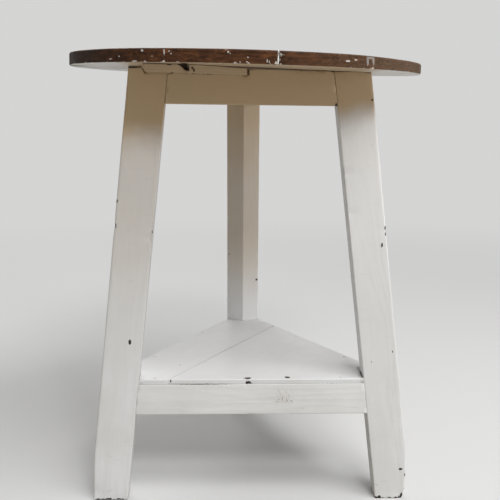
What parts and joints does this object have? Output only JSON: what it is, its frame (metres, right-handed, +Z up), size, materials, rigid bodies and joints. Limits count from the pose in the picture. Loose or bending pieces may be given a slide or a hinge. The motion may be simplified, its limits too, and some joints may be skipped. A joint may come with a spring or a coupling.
{
  "type": "cricket table",
  "caption": "Small three-legged side table with a round wooden top, splayed painted legs and a triangular shelf",
  "frame": {"origin": "middle of the bounding box, on the floor under the feet", "axes": "+Z up, -Y towards the front side with two legs, +X to the right seen from the front"},
  "size_m": [0.5472, 0.5522, 0.6834],
  "materials": {
    "white_paint": "white paint, chipped and worn, on wood",
    "brown_wood": "dark brown bare wood with flecks of white paint",
    "filler": "hard white filler",
    "pale_wood": "bare wood",
    "dull_steel": "dull steel"
  },
  "bodies": {
    "root": {"leg_left": "white_paint", "leg_right": "white_paint", "leg_back": "white_paint", "apron_front": "white_paint", "apron_right": "white_paint", "apron_left": "white_paint", "stretcher_front": "white_paint", "stretcher_right": "white_paint", "stretcher_left": "white_paint", "shelf_board_left": "white_paint", "shelf_board_right": "white_paint", "repair_strip": "white_paint", "top_board_left": "brown_wood", "top_board_right": "brown_wood", "seam_filler": "filler", "top_dowel_1": "pale_wood", "top_dowel_2": "pale_wood", "top_dowel_3": "pale_wood", "top_screw_front_1": "dull_steel", "top_screw_front_2": "dull_steel", "top_screw_right_1": "dull_steel", "top_screw_right_2": "dull_steel", "top_screw_left_1": "dull_steel", "top_screw_left_2": "dull_steel", "shelf_nail_front_1": "dull_steel", "shelf_nail_front_2": "dull_steel", "shelf_nail_front_3": "dull_steel", "shelf_nail_front_4": "dull_steel", "shelf_nail_right_1": "dull_steel", "shelf_nail_right_2": "dull_steel", "shelf_nail_right_3": "dull_steel", "shelf_nail_left_1": "dull_steel", "shelf_nail_left_2": "dull_steel"}
  },
  "joints": []
}
